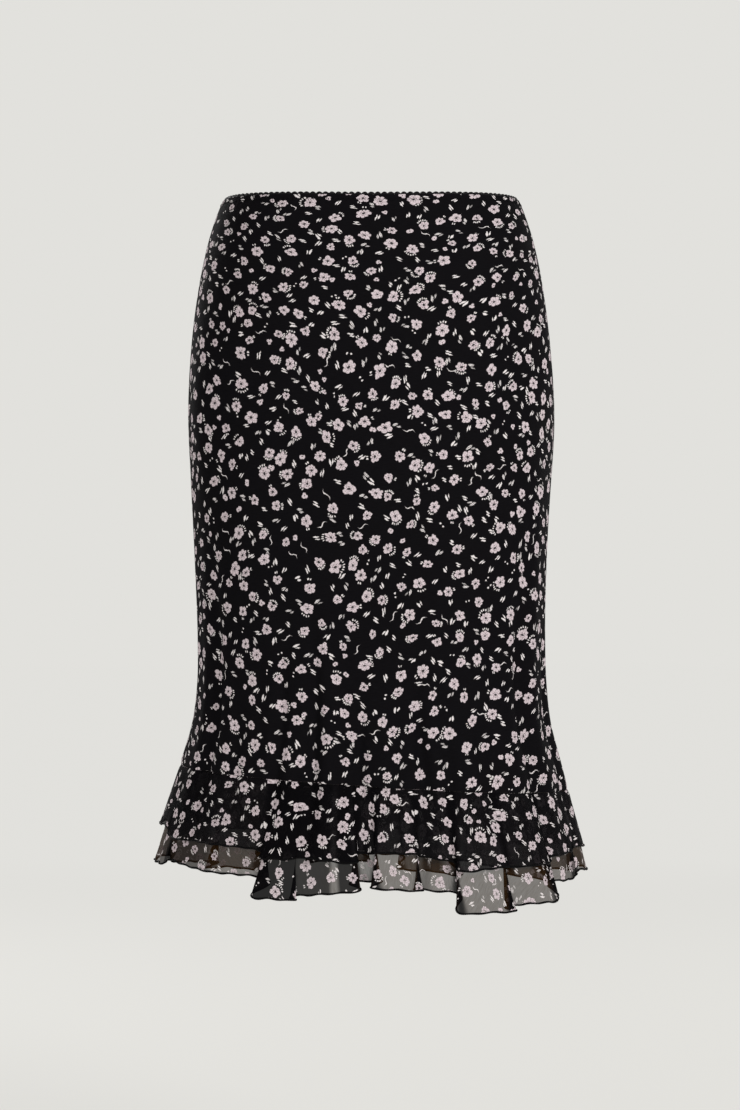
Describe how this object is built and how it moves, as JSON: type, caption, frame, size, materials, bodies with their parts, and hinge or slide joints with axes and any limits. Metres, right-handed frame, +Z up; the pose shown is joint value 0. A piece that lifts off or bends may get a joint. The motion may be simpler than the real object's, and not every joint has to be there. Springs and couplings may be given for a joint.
{
  "type": "ruffled midi skirt",
  "caption": "Fitted flower-print skirt that flares at the knee into two sheer ruffles, with a scalloped elastic waist, filled out as worn with nobody in it.",
  "frame": {"origin": "the centre of the waist opening, level with the cloth's top edge", "axes": "+Z up the skirt, -Y out of its front, +X to the wearer's left, which is the right of somebody who faces the front"},
  "size_m": [0.4451, 0.3244, 0.7169],
  "materials": {
    "body_cloth": "black crepe with a small dusty pink and white flower print",
    "ruffle_cloth": "sheer black chiffon with the same flower print",
    "elastic": "matt black picot elastic"
  },
  "bodies": {
    "root": {"front_panel": "body_cloth", "back_panel": "body_cloth", "upper_ruffle_front": "ruffle_cloth", "upper_ruffle_back": "ruffle_cloth", "lower_ruffle_front": "ruffle_cloth", "lower_ruffle_back": "ruffle_cloth", "waist_elastic": "elastic"}
  },
  "joints": []
}
